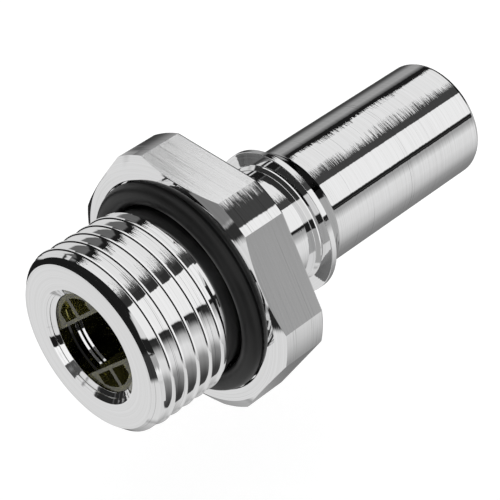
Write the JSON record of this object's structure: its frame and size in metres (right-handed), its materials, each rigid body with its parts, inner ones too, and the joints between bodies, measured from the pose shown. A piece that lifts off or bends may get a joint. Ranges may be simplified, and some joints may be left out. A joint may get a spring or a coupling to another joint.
{
  "type": "quick-disconnect coupling insert",
  "caption": "Valved quick-disconnect coupling insert with a male parallel pipe thread, hexagon with face O-ring, collared neck and smooth spigot closed by a sprung poppet.",
  "frame": {"origin": "on the axis, at the inner end of the external thread", "axes": "+X along the axis from the threaded end to the spigot's tip, +Z out of one flat of the hexagon"},
  "size_m": [0.0423, 0.0236, 0.022],
  "materials": {
    "plated_metal": "bright plated metal with fine turning marks",
    "black_rubber": "satin black rubber",
    "amber_plastic": "glossy translucent amber plastic",
    "spring_steel": "drawn stainless wire"
  },
  "bodies": {
    "insert": {"insert_body": "plated_metal", "port_o_ring": "black_rubber", "valve_cage": "amber_plastic", "valve_spring": "spring_steel"},
    "poppet": {"valve_poppet": "amber_plastic", "poppet_seal": "black_rubber"}
  },
  "joints": [
    {"name": "poppet_slide", "type": "slide", "parent": "insert", "child": "poppet", "axis": [-1, 0, 0], "range_m": [0, 0.003], "stiffness_N_per_m": 1300, "springref_m": -0.003, "deforming": ["valve_spring"]}
  ]
}
